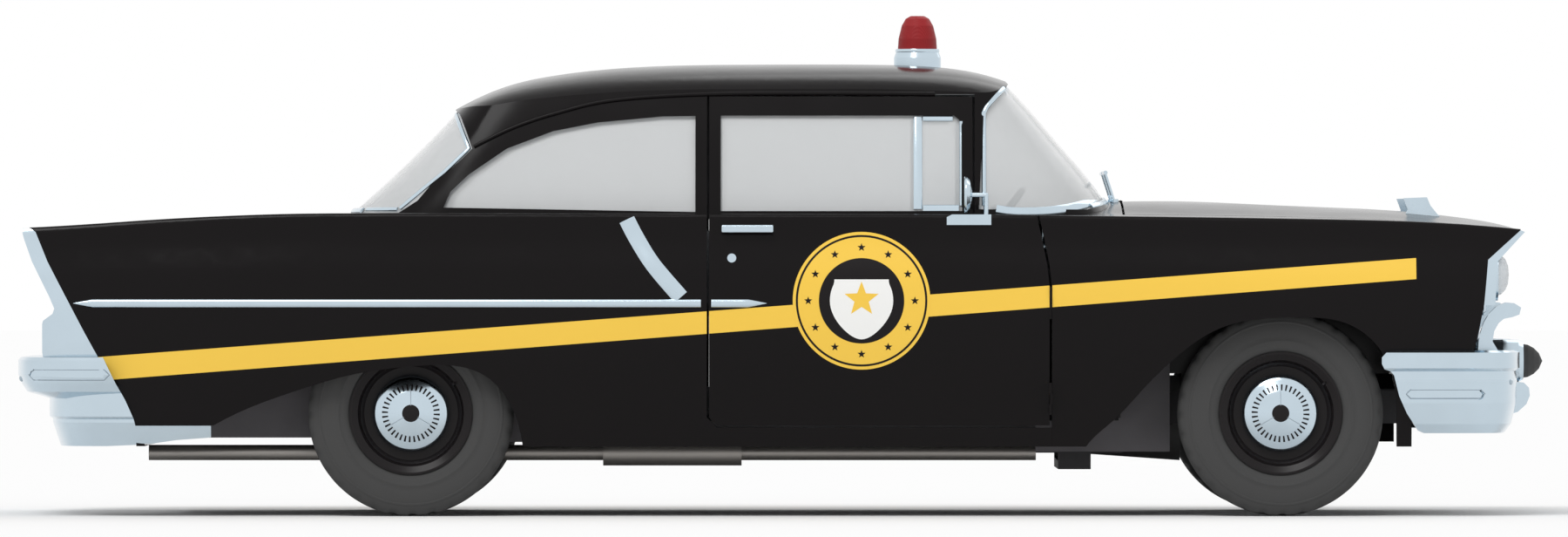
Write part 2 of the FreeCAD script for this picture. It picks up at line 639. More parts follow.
DASH_SHARES = [(0.735, 0.36), (0.735, 0.262), (0.755, 0.255), (0.78, 0.285),
               (0.78, 0.36)]


def hood_half(share):
    reach = (share - COWL_SHARE) / (NOSE_TOP_SHARE - COWL_SHARE)
    return HOOD_REAR_HALF + (HOOD_NOSE_HALF - HOOD_REAR_HALF) * reach


def lid_half(share):
    reach = (share - TAIL_TOP_SHARE) / (TRUNK_FRONT_SHARE - TAIL_TOP_SHARE)
    return TRUNK_TAIL_HALF + (TRUNK_FRONT_HALF - TRUNK_TAIL_HALF) * reach


def shifted(shares, step):
    """A side outline moved along the car by a length."""
    return [(x + step / WHEELBASE, z) for x, z in shares]


def wall_of(depth):
    """Shell of the lower body, as deep as asked."""
    key = ("wall", depth)
    if key not in MADE:
        MADE[key] = lower_body(0.0).cut(lower_body(depth))
    return MADE[key]


def house_wall():
    if "house" not in MADE:
        MADE["house"] = greenhouse(0.0).cut(greenhouse(FRAME_WALL))
    return MADE["house"]


def band(line, step, y0, y1):
    """Upright slab that follows an end line of the body."""
    return side_prism(line + shifted(line, step)[::-1], y0, y1)


def edge_hinge(pin, axis, fixed, moving, down):
    """Barrel hinge in a seam: the held leaf with its pin, and two free leaves.

    The webs run from the pin's axis to the fixed and the moving edge, and
    reach down along the edges by the last vector.
    """
    step = axis * BARREL_LENGTH
    start = pin - step * 1.5
    lift = down * (-PIN_RADIUS / down.Length)

    def leaf(low, reach, long):
        ring = tube(BARREL_RADIUS, low, low + axis * long)
        top = low + lift
        corners = [top, top + reach, top + reach + down, top + down, top]
        web = Part.Face(Part.makePolygon(corners)).extrude(axis * long)
        return fuse(ring, web)
    core = tube(PIN_RADIUS, start, start + step * 3)
    held = fuse(core, leaf(start + step, fixed, BARREL_LENGTH))
    hole = tube(PIN_RADIUS + RUNNING_FIT, start - step, start + step * 4)
    free = []
    for turn in (0, 2):
        low = start + step * turn + axis * SEAM
        free.append(leaf(low, moving, BARREL_LENGTH - SEAM * 2).cut(hole))
    return held, free


def door_hinges():
    x = along(DOOR_FRONT_SHARE) + DOOR_GAP / 2
    y = BODY_HALF * smooth(WAIST_HALF_SHARES, DOOR_FRONT_SHARE)
    reach = V(DOOR_GAP / 2 + PIN_RADIUS, 0, 0)
    down = V(0, -DOOR_WALL / 2, 0)
    made = [edge_hinge(V(x, y, height(share)), V(0, 0, 1), reach, -reach, down)
            for share in DOOR_HINGE_SHARES]
    return [held for held, free in made], [f for held, free in made for f in free]


def lid_hinges(share, ahead):
    """Two hinges across the car; ahead is +1 where the lid lies in front."""
    x = along(share) + LID_GAP / 2 * ahead
    z = height(smooth(CENTRE_HEIGHT_SHARES, share))
    reach = V((LID_GAP / 2 + PIN_RADIUS) * ahead, 0, 0)
    down = V(0, 0, -PANEL_WALL * 0.8)
    made = [edge_hinge(V(x, y, z), V(0, 1, 0), -reach, reach, down)
            for y in (-LID_HINGE_Y, LID_HINGE_Y)]
    return [held for held, free in made], [f for held, free in made for f in free]


def fender():
    gap = DOOR_GAP / WHEELBASE
    front = DOOR_FRONT_SHARE + gap
    edge = shifted(DOOR_SHARES[3:], DOOR_GAP)
    side = [(front, ROCKER_SHARE)] + edge + [(edge[-1][0], SKY_SHARE)]
    side += [(NOSE_TOP_SHARE, SKY_SHARE)] + NOSE_LINE_SHARES
    side += [(NOSE_LINE_SHARES[-1][0], ROCKER_SHARE)]
    outline = side_prism(side, 0, WIDE)
    ends = (edge[-1][0] - gap, COWL_SHARE, NOSE_END_SHARE)
    halves = (HOOD_REAR_HALF, HOOD_REAR_HALF, hood_half(NOSE_END_SHARE))
    inner = [(along(x), y) for x, y in zip(ends, halves)]
    plan = plan_prism(inner + [(along(ends[2]), WIDE), (along(ends[0]), WIDE)],
                      0, ROOF_HEIGHT)
    shell = wall_of(PANEL_WALL).common(outline).common(plan)
    post = [(front, ROCKER_SHARE), (front, DOOR_SHARES[3][1]),
            (front + POST_SHARE, DOOR_SHARES[4][1]),
            (front + POST_SHARE, ROCKER_SHARE)]
    hinge_post = wall_of(POST_WALL).common(side_prism(post, 0, WIDE))
    face = band(NOSE_LINE_SHARES[:4], -PANEL_WALL, 0, WIDE)
    face = face.common(plan).common(lower_body(0.0))
    tub = wheel_tub(FRONT_AXLE_X, TUB_FRONT_Y, plan)
    body = fuse(shell, hinge_post, face, tub, *door_hinges()[0])
    return one(body.cut(arch_prism(FRONT_ARCH_SHARES, TUB_FRONT_Y + TUB_WALL * 2, WIDE)))


def wheel_tub(x, inner_y, plan=None):
    """Half-round liner over a wheel, closed on its inner side."""
    axle = V(x, inner_y, AXLE_Z)
    out = V(x, WIDE, AXLE_Z)
    outer = tube(TUB_RADIUS + TUB_WALL, axle, out)
    hollow = tube(TUB_RADIUS, axle + V(0, TUB_WALL, 0), out)
    low = AXLE_Z + ARM_DROP + ARM_TALL * 3
    above = box(x - FAR, x + FAR, 0, WIDE, low, ROOF_HEIGHT)
    return outer.cut(hollow).common(above).common(lower_body(PANEL_WALL / 2))


def quarter():
    gap = DOOR_GAP / WHEELBASE
    rear = DOOR_REAR_SHARE - gap
    sill = DOOR_FOOT_SHARE - gap
    end = DOOR_FRONT_SHARE + gap - SEAM / WHEELBASE
    side = [(rear, SKY_SHARE), (rear, DOOR_SHARES[0][1]),
            (DOOR_SHARES[1][0], sill), (end, sill), (end, ROCKER_SHARE),
            (REAR_ARCH_SHARES[0][0], ROCKER_SHARE), REAR_ARCH_SHARES[0]]
    side += TAIL_LINE_SHARES[:-1][::-1] + [(TAIL_TOP_SHARE, SKY_SHARE)]
    outline = side_prism(side, 0, WIDE)
    tail = along(TAIL_TOP_SHARE)
    middle = along(CABIN_REAR_SHARE)
    plan = plan_prism([(tail, lid_half(TAIL_TOP_SHARE)),
                       (along(TRUNK_FRONT_SHARE), TRUNK_FRONT_HALF),
                       (middle, TRUNK_FRONT_HALF), (middle, CABIN_HALF),
                       (along(COWL_SHARE), CABIN_HALF),
                       (along(COWL_SHARE), WIDE), (tail, WIDE)],
                      0, ROOF_HEIGHT)
    shell = wall_of(PANEL_WALL).common(outline).common(plan)
    inner = rear - POST_SHARE
    deep = [(rear, BELT_SHARE), (rear, sill), (end, sill), (end, ROCKER_SHARE),
            (inner, ROCKER_SHARE), (inner, BELT_SHARE)]
    post = wall_of(POST_WALL).common(side_prism(deep, CABIN_HALF, WIDE))
    face = band(TAIL_LINE_SHARES, PANEL_WALL, 0, WIDE)
    face = face.common(plan).common(lower_body(0.0))
    tub = wheel_tub(REAR_AXLE_X, TUB_REAR_Y)
    body = fuse(shell, post, face, tub)
    return one(body.cut(arch_prism(REAR_ARCH_SHARES, TUB_REAR_Y + TUB_WALL * 2, WIDE)))


def door():
    foot = DOOR_SHARES + [(DOOR_SHARES[-1][0], BELT_SHARE),
                          (DOOR_REAR_SHARE, BELT_SHARE)]
    panel = wall_of(DOOR_WALL).common(side_prism(foot, CABIN_HALF, WIDE))
    panel = panel.cut(cowl_plan(DOOR_GAP))
    frame = house_wall().common(side_prism(DOOR_FRAME_SHARES, 0, WIDE))
    frame = frame.cut(side_prism(DOOR_WINDOW_SHARES, 0, WIDE))
    body = fuse(panel, frame)
    edge = DOOR_REAR_SHARE
    step = edge + JAMB_STEP / WHEELBASE
    slot = side_prism([(edge - POST_SHARE, 0), (step, 0), (step, 1),
                       (edge - POST_SHARE, 1)], 0, WIDE)
    deep = lower_body(JAMB_DEPTH).multiFuse([greenhouse(JAMB_DEPTH)])
    body = one(body.cut(slot.common(deep)))
    return one(fuse(body, *door_hinges()[1]))


def roof():
    gap = DOOR_GAP / WHEELBASE
    front = FRAME_FRONT_SHARE + gap
    top = FRAME_TOP_SHARE + gap
    rear = DOOR_REAR_SHARE - gap
    foot = GREEN_LEVEL_SHARES[0]
    doorway = [(front, foot), (front, top), (rear, top), (rear, foot)]
    cuts = [lower_body(-SEAM)]
    for shares in (doorway, QUARTER_WINDOW_SHARES, WINDSHIELD_OPENING_SHARES,
                   BACKLIGHT_OPENING_SHARES):
        cuts.append(side_prism(shares, -WIDE, WIDE))
    return one(house_wall().cut(cuts))


def pane(shares, y0, y1):
    """Glass in a window opening, following the glass house."""
    key = "glass"
    if key not in MADE:
        deep = greenhouse(GLASS_DEPTH + GLASS_WALL)
        MADE[key] = greenhouse(GLASS_DEPTH).cut(deep)
    opening = side_prism(shares, y0, y1, SEAM)
    return one(MADE[key].common(opening).cut(lower_body(-SEAM)))


def hood():
    gap = LID_GAP
    rear = along(COWL_SHARE) + gap
    nose = along(NOSE_TOP_SHARE)
    points = [(rear, HOOD_REAR_HALF - gap), (nose, HOOD_NOSE_HALF - gap)]
    outline = points + [(x, -y) for x, y in reversed(points)]
    plan = plan_prism(outline, height(GREEN_LEVEL_SHARES[0]) - OVERRUN, ROOF_HEIGHT)
    panel = wall_of(PANEL_WALL).common(plan)
    return one(fuse(one(panel), *lid_hinges(COWL_SHARE, 1)[1]))


def cowl_plan(grow):
    """Plan of the scuttle, with a wing back to each windshield pillar."""
    rear = along(FRAME_FRONT_SHARE) + DOOR_GAP - grow
    middle = along(DOOR_SHARES[-1][0])
    step = middle + DOOR_GAP - SEAM
    front = along(COWL_SHARE)
    wing = COWL_HALF + grow
    half = HOOD_REAR_HALF - SEAM
    points = [(middle, COWL_WING_HALF), (rear, COWL_WING_HALF), (rear, wing),
              (step, wing), (step, half), (front, half)]
    points += [(x, -y) for x, y in reversed(points)]
    return plan_prism(points, height(ROCKER_SHARE), ROOF_HEIGHT)


def cowl():
    """Scuttle under the windshield with the upright firewall."""
    front = along(COWL_SHARE)
    half = HOOD_REAR_HALF - SEAM
    top = one(wall_of(PANEL_WALL).common(cowl_plan(0)))
    plate = box(front - PANEL_WALL, front - PANEL_WALL / 2, -half, half,
                height(RAIL_TOP_SHARE) + SEAM, ROOF_HEIGHT)
    plate = plate.common(lower_body(PANEL_WALL / 2))
    plate = plate.cut(tunnel(TUNNEL_RADIUS + SEAM))
    return one(fuse(top, plate, *lid_hinges(COWL_SHARE, 1)[0]))


def parcel_shelf():
    half = TRUNK_FRONT_HALF - SEAM
    plan = box(along(TRUNK_FRONT_SHARE), along(CABIN_REAR_SHARE), -half, half,
               height(BELT_SHARE) - OVERRUN / 2, ROOF_HEIGHT)
    shelf = one(wall_of(PANEL_WALL).common(plan))
    return one(fuse(shelf, *lid_hinges(TRUNK_FRONT_SHARE, -1)[0]))


def trunk_lid():
    gap = LID_GAP
    front = along(TRUNK_FRONT_SHARE) - gap
    tail = along(TAIL_TOP_SHARE)
    points = [(front, TRUNK_FRONT_HALF - gap),
              (tail, lid_half(TAIL_TOP_SHARE) - gap)]
    outline = points + [(x, -y) for x, y in reversed(points)]
    plan = plan_prism(outline, height(LID_FOOT_SHARE), ROOF_HEIGHT)
    side = [(TRUNK_FRONT_SHARE, SKY_SHARE), (TRUNK_FRONT_SHARE, LID_FOOT_SHARE)]
    side += TAIL_LINE_SHARES[::-1] + [(TAIL_TOP_SHARE, SKY_SHARE)]
    outline = side_prism(side, -WIDE, WIDE)
    top = wall_of(PANEL_WALL).common(plan).common(outline)
    face = band(TAIL_LINE_SHARES, PANEL_WALL, -WIDE, WIDE)
    face = face.common(plan).common(lower_body(0.0))
    return one(fuse(top, face, *lid_hinges(TRUNK_FRONT_SHARE, -1)[1]))


def tail_panel():
    half = lid_half(TAIL_TOP_SHARE) - SEAM
    low = height(ROCKER_SHARE)
    face = band(TAIL_LINE_SHARES, PANEL_WALL, -half, half)
    return one(face.common(box(-FAR, FAR, -half, half, low,
                               height(LID_FOOT_SHARE) - LID_GAP)))


def front_panel():
    """Panel between the fenders that carries lamps and grille."""
    ends = (COWL_SHARE, NOSE_END_SHARE)
    points = [(along(x), hood_half(x) - SEAM) for x in ends]
    points += [(x, -y) for x, y in reversed(points)]
    face = band(NOSE_LINE_SHARES[:4], -PANEL_WALL, -WIDE, WIDE)
    face = face.common(plan_prism(points, 0, ROOF_HEIGHT))
    face = face.common(lower_body(PANEL_WALL + LID_GAP))
    grille_hole = box(0, FAR, -GRILLE_HALF, GRILLE_HALF,
                      height(GRILLE_FOOT_SHARE), height(GRILLE_TOP_SHARE))
    return one(face.cut(grille_hole))


def grille():
    """Fine crossed bars in a rim, with a round beam and two parking lamps."""
    low = height(GRILLE_FOOT_SHARE) + SEAM
    top = height(GRILLE_TOP_SHARE) - SEAM
    x1 = along(NOSE_LINE_SHARES[2][0]) - PANEL_WALL / 2
    x0 = x1 - GRILLE_BAR_DEEP
    half = GRILLE_HALF - SEAM
    rim = GRILLE_RIM
    ring = box(x0, x1, -half, half, low, top)
    ring = ring.cut(box(x0, x1, rim - half, half - rim, low + rim, top - rim))
    bars = []
    pitch = (top - low - rim * 2 - GRILLE_BAR_TALL) / (GRILLE_BARS + 1)
    for i in range(GRILLE_BARS):
        z = low + rim + (i + 1) * pitch
        bars.append(box(x0, x1 - rim / 4, -half + rim / 2, half - rim / 2,
                        z, z + GRILLE_BAR_TALL))
    pitch = (half * 2 - rim * 2 - GRILLE_POST_WIDE) / (GRILLE_POSTS + 1)
    for i in range(GRILLE_POSTS):
        y = rim - half + (i + 1) * pitch
        bars.append(box(x0, x1 - rim / 2, y, y + GRILLE_POST_WIDE,
                        low + rim / 2, top - rim / 2))
    z = height(GRILLE_BEAM_SHARE)
    x = x1 + GRILLE_BEAM_RADIUS * 0.6
    bars.append(tube(GRILLE_BEAM_RADIUS, V(x, rim - half, z), V(x, half - rim, z)))
    r = PARKING_LAMP_RADIUS
    long = PARKING_LAMP_LONG
    profile = [(0, 0), (r * 0.6, 0), (r, long * 0.3), (r, long * 0.8),
               (r * 0.85, long * 0.96), (0, long)]
    for side in (1, -1):
        start = V(x1 - GRILLE_BAR_DEEP / 2, (half - rim - r * 1.1) * side, z)
        bars.append(revolved(profile, start, V(1, 0, 0), V(0, 0, 1)))
    return fuse(ring, *bars)


def body_core():
    """What the lower body fills between its tail and nose lines."""
    if "core" not in MADE:
        ends = shifted(TAIL_LINE_SHARES, -SEAM) + shifted(NOSE_LINE_SHARES, SEAM)[::-1]
        MADE["core"] = lower_body(-SEAM).common(side_prism(ends, -WIDE, WIDE))
    return MADE["core"]


def plan_line(face_share, end_share, half, low_share):
    """Plan line of a bumper, from one side round the car's end to the other."""
    face = along(face_share)
    end = along(end_share)
    deep = face - end
    points = [(end, half), (end + deep * 0.45, half),
              (end + deep * 0.80, half * 0.965), (end + deep * 0.94, half * 0.85),
              (face - deep * 0.01, half * 0.62), (face, half * 0.30)]
    z = height(low_share)
    side = 1 if deep > 0 else -1
    first = [V(x, y * side, z) for x, y in points]
    last = [V(x, -y * side, z) for x, y in reversed(points)]
    return Part.Wire([bspline(first + [V(face, 0, z)] + last)])


def swept(path, shares, side):
    """A section in shares, outwards and up, carried along a plan line."""
    start = path.Edges[0].valueAt(path.Edges[0].FirstParameter)
    points = [V(start.x, start.y + out * WHEELBASE * side, height(z)) for out, z in shares]
    section = Part.makePolygon(points + points[:1])
    pipe = Part.BRepOffsetAPI.MakePipeShell(path)
    pipe.setBiNormalMode(V(0, 0, 1))
    pipe.add(section)
    pipe.build()
    pipe.makeSolid()
    return pipe.shape()


def slot_cut(path, corners, side):
    """Shallow long slot on both sides of a bumper."""
    (x0, z0), (x1, z1) = corners
    deep = SLOT_DEPTH * 3 / WHEELBASE
    band_shares = [(-deep, z0), (deep, z0), (deep, z1), (-deep, z1)]
    end = (z1 - z0) / 2
    outline = [(x0 + end, z0), (x1 - end, z0), (x1 - end * 0.3, z0 + end * 0.3),
               (x1, z0 + end), (x1 - end * 0.3, z1 - end * 0.3), (x1 - end, z1),
               (x0 + end, z1), (x0 + end * 0.3, z1 - end * 0.3), (x0, z0 + end),
               (x0 + end * 0.3, z0 + end * 0.3)]
    return swept(path, band_shares, side).common(side_prism(outline, -WIDE, WIDE))


def front_bumper():
    """Wrapped bar with two round guards and two hooked uprights."""
    path = plan_line(FRONT_BUMPER_FACE_SHARE, FRONT_BUMPER_END_SHARE, BUMPER_HALF,
                     FRONT_BUMPER_SHARES[2][1])
    bar = swept(path, FRONT_BUMPER_SHARES, 1)
    bar = bar.common(side_prism(FRONT_BUMPER_SIDE_SHARES, -WIDE, WIDE))
    inset = SLOT_DEPTH / WHEELBASE
    low, top = FRONT_SLOT_SHARES
    shallow = plan_line(FRONT_BUMPER_FACE_SHARE - inset * 2, FRONT_BUMPER_END_SHARE,
                        BUMPER_HALF + FRONT_BUMPER_SHARES[6][0] * WHEELBASE
                        + SLOT_DEPTH * 2, low[1])
    bar = bar.cut(slot_cut(shallow, (low, top), 1))
    parts = []
    z = height(GUARD_SHARE)
    for side in (1, -1):
        y = GUARD_Y * side
        profile = [(height(r), along(x)) for x, r in GUARD_BODY_SHARES]
        parts.append(revolved(profile, V(0, y, z), V(1, 0, 0), V(0, 0, 1)))
        parts.append(side_prism(GUARD_FOOT_SHARES, y - GUARD_FOOT_HALF,
                                y + GUARD_FOOT_HALF))
        y = HOOK_Y * side
        parts.append(side_prism(HOOK_SHARES, y - HOOK_HALF, y + HOOK_HALF))
    x0 = along(FRONT_BUMPER_FACE_SHARE) - BRACKET_DEEP
    bracket = box(x0, x0 + BRACKET_DEEP * 0.72, RAIL_INNER, RAIL_OUTER,
                  height(RAIL_TOP_SHARE), height(FRONT_BUMPER_SHARES[4][1]))
    parts += [bracket, mirrored(bracket)]
    return one(fuse(bar, *parts).cut(body_core()))


def guard_tips():
    profile = [(height(r), along(x)) for x, r in GUARD_TIP_SHARES]
    z = height(GUARD_SHARE)
    return Part.makeCompound([revolved(profile, V(0, y, z), V(1, 0, 0), V(0, 0, 1))
                              for y in (GUARD_Y, -GUARD_Y)])


def rear_bumper():
    """Protruding bar over an apron that turns under the quarters."""
    path = plan_line(TAIL_TIP_SHARE, REAR_BAR_END_SHARE, BUMPER_HALF,
                     REAR_BAR_SHARES[2][1])
    bar = swept(path, REAR_BAR_SHARES, -1)
    bar = bar.cut(slot_cut(path_inset(SLOT_DEPTH * 2), REAR_SLOT_SHARES, -1))
    half = BUMPER_HALF - APRON_INSET
    low = plan_line(REAR_APRON_FACE_SHARE, REAR_APRON_END_SHARE, half,
                    REAR_APRON_SHARES[0][1])
    apron = swept(low, REAR_APRON_SHARES, -1)
    x0 = along(REAR_APRON_FACE_SHARE) + BRACKET_DEEP / 10
    bracket = box(x0, along(TAIL_FOOT_SHARE), RAIL_INNER, RAIL_OUTER,
                  height(REAR_APRON_SHARES[1][1]), height(REAR_BAR_SHARES[4][1]))
    outline = side_prism(REAR_BUMPER_SIDE_SHARES, -WIDE, WIDE)
    shell = one(fuse(bar, apron).common(outline))
    return one(fuse(shell, bracket, mirrored(bracket)).cut(body_core()))


def path_inset(step):
    """Plan line of the rear bar, moved outwards by a step."""
    return plan_line(TAIL_TIP_SHARE - step / WHEELBASE, REAR_BAR_END_SHARE,
                     BUMPER_HALF + step, REAR_BAR_SHARES[2][1])


def head_lamps():
    """Bright plates with the lamp rings, and the lenses."""
    z = height(LAMP_SHARE)
    seat = along(LAMP_SEAT_SHARE)
    tip = along(LAMP_TIP_SHARE)
    inner = hood_half(NOSE_TOP_SHARE) + SEAM
    start = V(seat, LAMP_Y, z)
    ring_end = V(seat + LAMP_RING_REACH, LAMP_Y, z)
    outer = LAMP_RADIUS + LAMP_RING
    plate = side_prism(LAMP_PLATE_SHARES, inner, WIDE).common(lower_body(0.0))
    ring = tube(outer, start, ring_end)
    hole = tube(LAMP_RADIUS + SEAM, start - V(OVERRUN, 0, 0), ring_end + V(OVERRUN, 0, 0))
    plate = one(fuse(plate, ring).cut([hole, body_core()]))
    r = LAMP_RADIUS
    reach = tip - seat
    edge = LAMP_RING_REACH * 0.8
    bulge = reach - edge
    profile = [(0, 0), (r, 0), (r, edge), (r * 0.90, edge + bulge * 0.42),
               (r * 0.70, edge + bulge * 0.74), (r * 0.42, edge + bulge * 0.93),
               (0, reach)]
    lens = revolved(profile, start, V(1, 0, 0), V(0, 0, 1)).cut(body_core())
    lens = one(lens)
    return (Part.makeCompound([plate, mirrored(plate)]),
            Part.makeCompound([lens, mirrored(lens)]))


def tail_lamps():
    """Bright fin ends with a bore each, and the red lenses in them."""
    inner = lid_half(TAIL_TOP_SHARE) + SEAM
    z = height(TAIL_LAMP_SHARE)
    rear = along(FIN_END_SHARES[-2][0])
    low = height(FIN_END_FOOT_SHARE)
    line = [(x - SEAM / WHEELBASE, z) for x, z in TAIL_LINE_SHARES[:6]]
    start = V(rear + TAIL_LAMP_DEPTH, TAIL_LAMP_Y, z)
    end = side_prism(FIN_END_SHARES + line[::-1], inner, WIDE)
    end = end.common(box(-FAR, 0, inner, WIDE, low, height(FIN_END_TOP_SHARE)))
    end = end.common(lower_body(0.0))
    crest = BODY_HALF * smooth(CROWN_HALF_SHARES, FIN_CAP_SHARES[0][0])
    cap = side_prism(FIN_CAP_SHARES, crest - FIN_CAP_WIDE, crest + FIN_CAP_PROUD * 3)
    beside = lower_body(0.0).translated(V(0, -SEAM * 2, 0))
    cap = cap.cut([lower_body(-SEAM * 2), beside])
    bore = tube(TAIL_LAMP_RADIUS + SEAM, start, V(rear - OVERRUN, TAIL_LAMP_Y, z))
    end = one(fuse(end, cap).cut(bore))
    r = TAIL_LAMP_RADIUS
    deep = TAIL_LAMP_DEPTH - SEAM
    profile = [(0, 0), (r, 0), (r, deep - TAIL_LAMP_RIM), (r * 0.86, deep),
               (r * 0.5, deep + TAIL_LAMP_RIM), (0, deep + TAIL_LAMP_RIM * 1.4)]
    lens = revolved(profile, start - V(SEAM, 0, 0), V(-1, 0, 0), V(0, 0, 1))
    return (Part.makeCompound([end, mirrored(end)]),
            Part.makeCompound([lens, mirrored(lens)]))


def skin_y(x_share, z_share):
    """Half width of the lower body's skin at one place in side view."""
    start = V(along(x_share), BODY_HALF / 2, height(z_share))
    line = Part.makeLine(start, V(start.x, WIDE, start.z))
    inside = line.common(lower_body(0.0))
    return max(v.Point.y for v in inside.Vertexes)


def door_trim():
    """Pull handle, key lock and round mirror of the left door."""
    (x0, z0), (x1, z1) = HANDLE_SHARES
    middle = (z0 + z1) / 2
    y = skin_y(x0, middle)
    grip = box(along(x0), along(x1), y + HANDLE_REACH - HANDLE_WALL, y + HANDLE_REACH,
               height(z0), height(z1))
    grip = grip.makeFillet(HANDLE_WALL * 0.45, grip.Edges)
    posts = []
    for share in HANDLE_POST_SHARES:
        root = V(along(share), y - SEAM * 4, height(middle))
        posts.append(tube(HANDLE_POST_RADIUS, root, root + V(0, HANDLE_REACH, 0)))
    skin = lower_body(-SEAM)
    handle = one(fuse(grip, *posts).cut(skin))
    lock_y = skin_y(*LOCK_SHARES)
    root = V(along(LOCK_SHARES[0]), lock_y - LOCK_REACH, height(LOCK_SHARES[1]))
    lock = one(tube(LOCK_RADIUS, root, root + V(0, LOCK_REACH * 2, 0)).cut(skin))
    foot_y = skin_y(MIRROR_POST_SHARE, MIRROR_FOOT_SHARES[0][1])
    foot = side_prism(MIRROR_FOOT_SHARES, foot_y - MIRROR_FOOT_REACH * 3,
                      foot_y + MIRROR_FOOT_REACH)
    post = V(along(MIRROR_POST_SHARE), foot_y, height(MIRROR_FOOT_SHARES[0][1]))
    bend = V(post.x, foot_y, height(MIRROR_ARM_SHARE))
    head = V(along(MIRROR_HEAD_SHARE), foot_y, bend.z)
    r = MIRROR_RADIUS
    profile = [(0, 0), (r * 0.97, 0), (r, MIRROR_DEEP * 0.12), (r, MIRROR_DEEP * 0.3),
               (r * 0.80, MIRROR_DEEP * 0.75), (r * 0.3, MIRROR_DEEP),
               (0, MIRROR_DEEP)]
    disc = revolved(profile, head - V(MIRROR_DEEP / 2, 0, 0), V(1, 0, 0), V(0, 0, 1))
    elbow = Part.makeSphere(MIRROR_ARM_RADIUS, bend)
    mirror = fuse(foot, tube(MIRROR_ARM_RADIUS, post, bend), elbow,
                  tube(MIRROR_ARM_RADIUS, bend, head), disc)
    mirror = one(mirror.cut([skin, greenhouse(-SEAM)]))
    return Part.makeCompound([handle, lock, mirror])


def wipers():
    """Two arms at rest on the windshield, each with its blade."""
    made = []
    glass = greenhouse(-SEAM)
    body = lower_body(-SEAM)
    lift = V(WIPER_BLADE_RADIUS, 0, WIPER_BLADE_RADIUS)
    for side in (1, -1):
        y = WIPER_Y * side
        foot = V(along(WIPER_FOOT_SHARES[0]), y, height(WIPER_FOOT_SHARES[1]))
        tip = V(along(WIPER_TIP_SHARES[0]), y, height(WIPER_TIP_SHARES[1])) + lift
        arm = tube(WIPER_ARM_RADIUS, foot, tip)
        knob = tube(WIPER_ARM_RADIUS * 2.4, foot - V(0, 0, PANEL_WALL),
                    foot + V(0, 0, WIPER_ARM_RADIUS * 2))
        reach = V(0, WIPER_BLADE_HALF, 0)
        blade = tube(WIPER_BLADE_RADIUS, tip - reach, tip + reach)
        made.append(one(fuse(arm, knob, blade).cut([glass, body])))
    return Part.makeCompound(made)


def ornaments():
    made = []
    body = lower_body(-SEAM)
    for side in (1, -1):
        y = ORNAMENT_Y * side
        fin = side_prism(ORNAMENT_SHARES, y - ORNAMENT_HALF, y + ORNAMENT_HALF)
        made.append(one(fin.cut(body)))
    return Part.makeCompound(made)


def revolved(profile, center, axis, up):
    """Solid of revolution: profile as (radius, distance along the axis)."""
    points = [center + up * r + axis * d for r, d in profile]
    wire = Part.makePolygon(points + points[:1])
    return Part.Face(wire).revolve(center, axis, 360)


def tyre(x, y, side):
    half = TYRE_WIDTH / 2
    bead = RIM_HALF - RIM_WALL - SEAM * 2
    seat = RIM_RADIUS * 0.90
    profile = [(seat + SEAM, SEAM * 2 - RIM_HALF * 0.80),
               (RIM_RADIUS + SEAM * 3, -bead),
               (RIM_RADIUS * 1.08, -half * 0.93), (RIM_RADIUS * 1.30, -half),
               (TYRE_RADIUS * 0.92, -half * 0.94), (TYRE_RADIUS * 0.985, -half * 0.80),
               (TYRE_RADIUS, -half * 0.60)]
    profile += [(r, -d) for r, d in reversed(profile)]
    return revolved(profile, V(x, y, AXLE_Z), V(0, 1, 0), V(0, 0, 1))


def wheel(x, y, side):
    """Steel wheel with its cap and blind hub bore, dished side outwards."""
    seat = RIM_RADIUS * 0.90
    wall = RIM_WALL
    flange = RIM_HALF
    bore = SPINDLE_RADIUS + RUNNING_FIT
    profile = [(RIM_RADIUS, flange), (RIM_RADIUS, flange - wall),
               (seat, RIM_HALF * 0.80), (seat - wall, RIM_HALF * 0.3),
               (seat - wall, -RIM_HALF * 0.3), (seat, -RIM_HALF * 0.80),
               (RIM_RADIUS, wall - flange), (RIM_RADIUS, -flange),
               (RIM_RADIUS - wall, -flange), (seat - wall, -RIM_HALF * 0.86),
               (seat - wall * 2, -RIM_HALF * 0.35), (seat - wall * 2, RIM_HALF * 0.10),
               (seat - wall * 4, RIM_HALF * 0.16), (HUB_RADIUS, RIM_HALF * 0.10),
               (HUB_RADIUS, -RIM_HALF * 0.40), (bore, -RIM_HALF * 0.40),
               (bore, RIM_HALF * 0.50), (0, RIM_HALF * 0.50),
               (0, RIM_HALF * 0.98), (CAP_RADIUS * 0.20, RIM_HALF * 0.96),
               (CAP_RADIUS * 0.55, RIM_HALF * 0.84), (CAP_RADIUS * 0.85, RIM_HALF * 0.62),
               (CAP_RADIUS, RIM_HALF * 0.40), (CAP_RADIUS, RIM_HALF * 0.24),
               (seat - wall * 4, RIM_HALF * 0.28), (seat - wall * 2.2, RIM_HALF * 0.40),
               (seat - wall, RIM_HALF * 0.86), (RIM_RADIUS - wall, flange)]
    return revolved(profile, V(x, y, AXLE_Z), V(0, side, 0), V(0, 0, 1))


